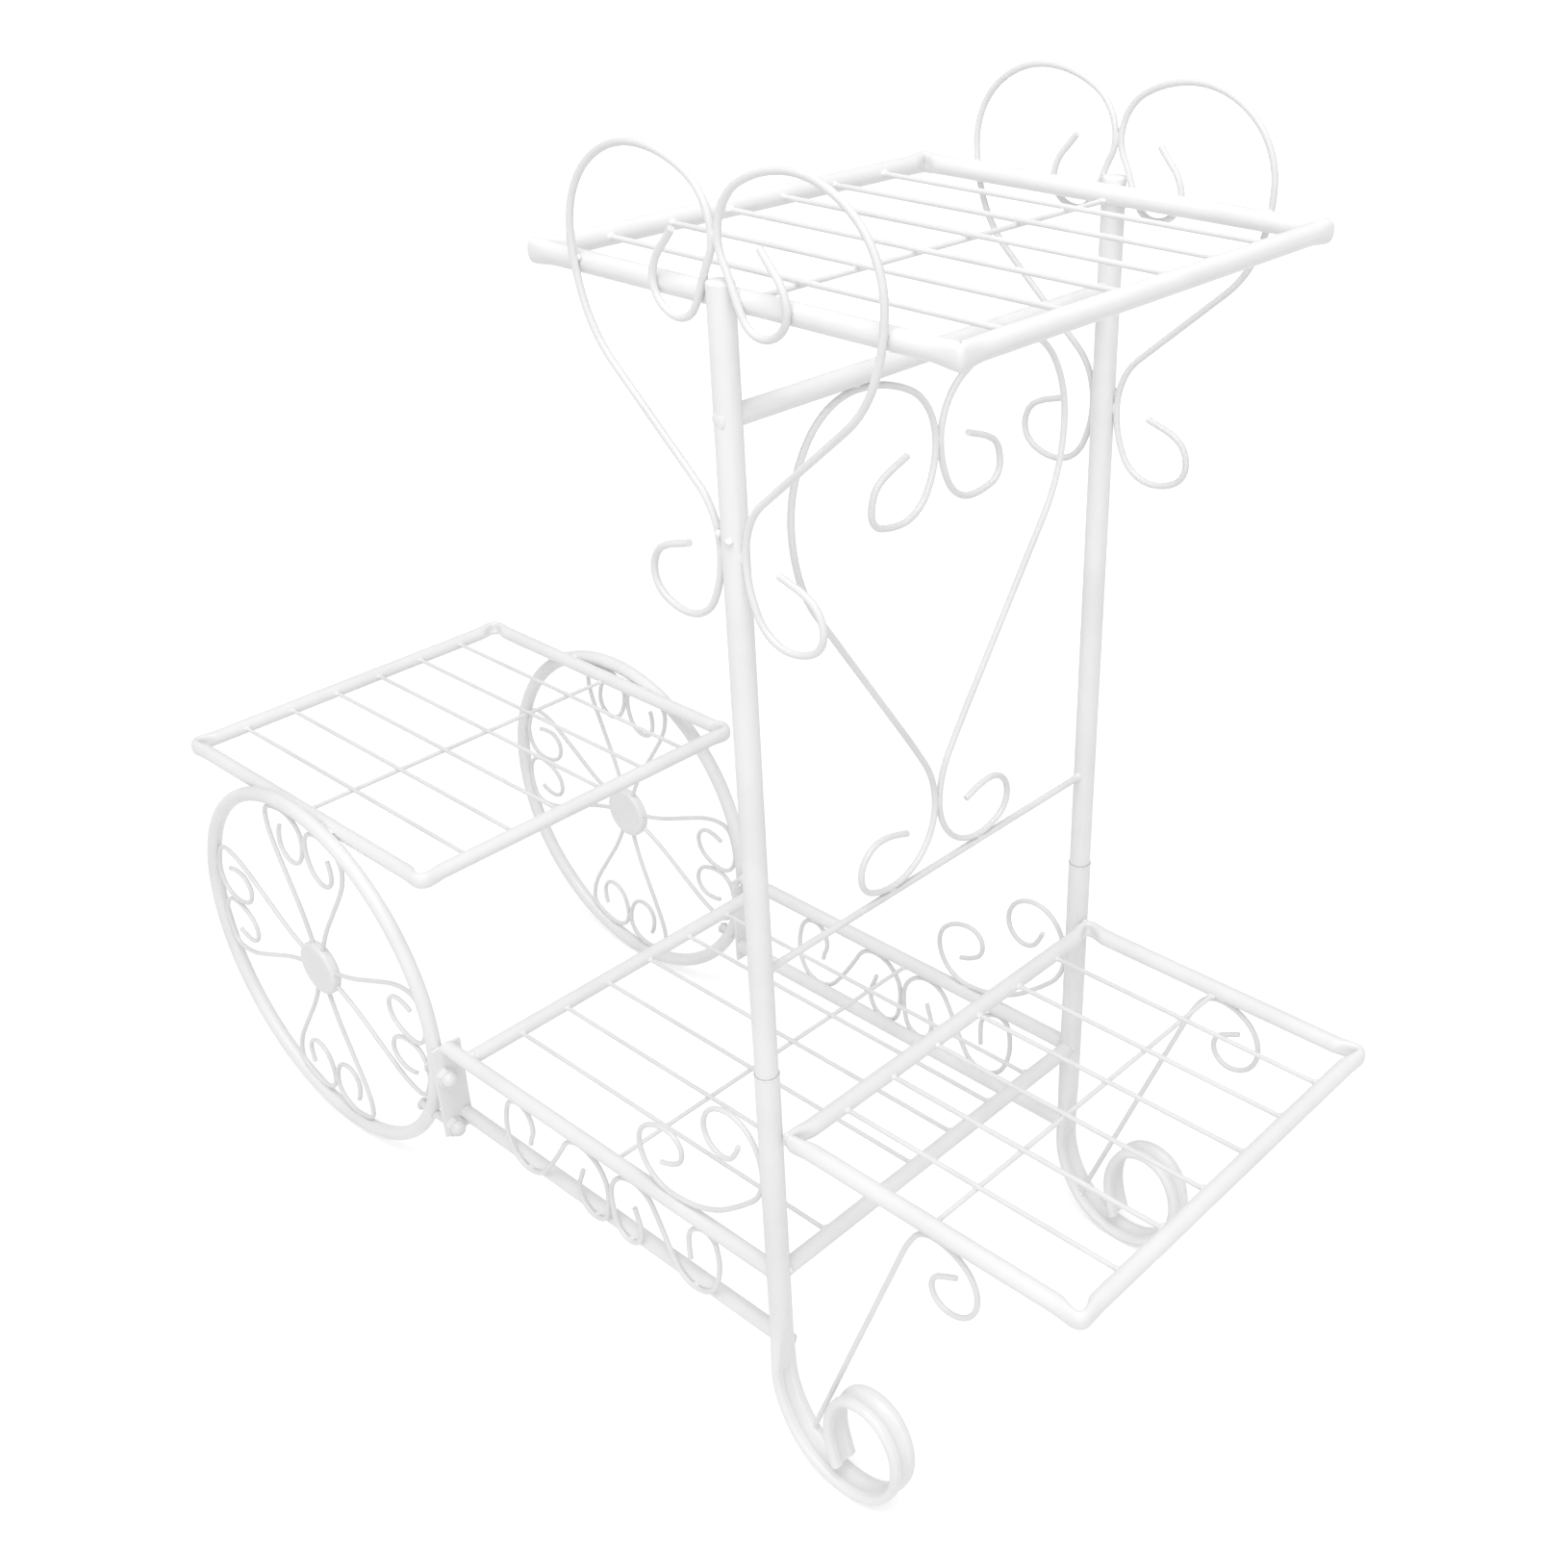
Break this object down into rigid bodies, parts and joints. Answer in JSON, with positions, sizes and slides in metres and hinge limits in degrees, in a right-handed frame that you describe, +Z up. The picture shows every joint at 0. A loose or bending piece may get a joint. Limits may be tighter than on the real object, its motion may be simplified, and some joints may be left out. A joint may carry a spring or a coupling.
{
  "type": "flower cart stand",
  "caption": "Plant stand shaped like a small cart: stepped wire shelves on tube frames, ring wheels with lyre spokes, scrolled feet and heart scrollwork.",
  "frame": {"origin": "on the ground under the middle of the overall length and width", "axes": "+X along the cart from the wheels to the front shelf, +Y across it, +Z up"},
  "size_m": [0.791, 0.292, 0.7337],
  "materials": {
    "coated_steel": "satin powder coat",
    "coated_wire": "satin powder coat",
    "plated_steel": "zinc plated"
  },
  "bodies": {
    "root": {"bar_plugs": "plated_steel", "bar_screws": "plated_steel", "bed_back_rail": "coated_steel", "bed_cross_wire": "coated_wire", "bed_front_rail": "coated_steel", "bed_lower_rail_left": "coated_steel", "bed_lower_rail_right": "coated_steel", "bed_upper_rail_left": "coated_steel", "bed_upper_rail_right": "coated_steel", "bed_wires": "coated_wire", "brace_left": "coated_wire", "brace_right": "coated_wire", "bracket_bolts": "plated_steel", "cap_nuts": "plated_steel", "centre_heart_left": "coated_wire", "centre_heart_right": "coated_wire", "corner_scroll_left": "coated_wire", "corner_scroll_right": "coated_wire", "front_scroll_left": "coated_wire", "front_scroll_right": "coated_wire", "front_shelf_cross_wire": "coated_wire", "front_shelf_frame": "coated_steel", "front_shelf_wires": "coated_wire", "leg_left": "coated_steel", "leg_right": "coated_steel", "lower_rod": "coated_wire", "post_left": "coated_steel", "post_right": "coated_steel", "rear_scroll_left": "coated_wire", "rear_scroll_right": "coated_wire", "rear_shelf_cross_wire": "coated_wire", "rear_shelf_frame": "coated_steel", "rear_shelf_wires": "coated_wire", "side_heart_left_front": "coated_wire", "side_heart_left_rear": "coated_wire", "side_heart_right_front": "coated_wire", "side_heart_right_rear": "coated_wire", "spreader_bar": "coated_steel", "top_shelf_cross_wire": "coated_wire", "top_shelf_frame": "coated_steel", "top_shelf_wires": "coated_wire", "wheel_bracket_left": "coated_steel", "wheel_bracket_right": "coated_steel", "wheel_hub_left": "coated_steel", "wheel_hub_right": "coated_steel", "wheel_rim_left": "coated_steel", "wheel_rim_right": "coated_steel", "wheel_spoke_left_1": "coated_wire", "wheel_spoke_left_2": "coated_wire", "wheel_spoke_left_3": "coated_wire", "wheel_spoke_left_4": "coated_wire", "wheel_spoke_right_1": "coated_wire", "wheel_spoke_right_2": "coated_wire", "wheel_spoke_right_3": "coated_wire", "wheel_spoke_right_4": "coated_wire"}
  },
  "joints": []
}
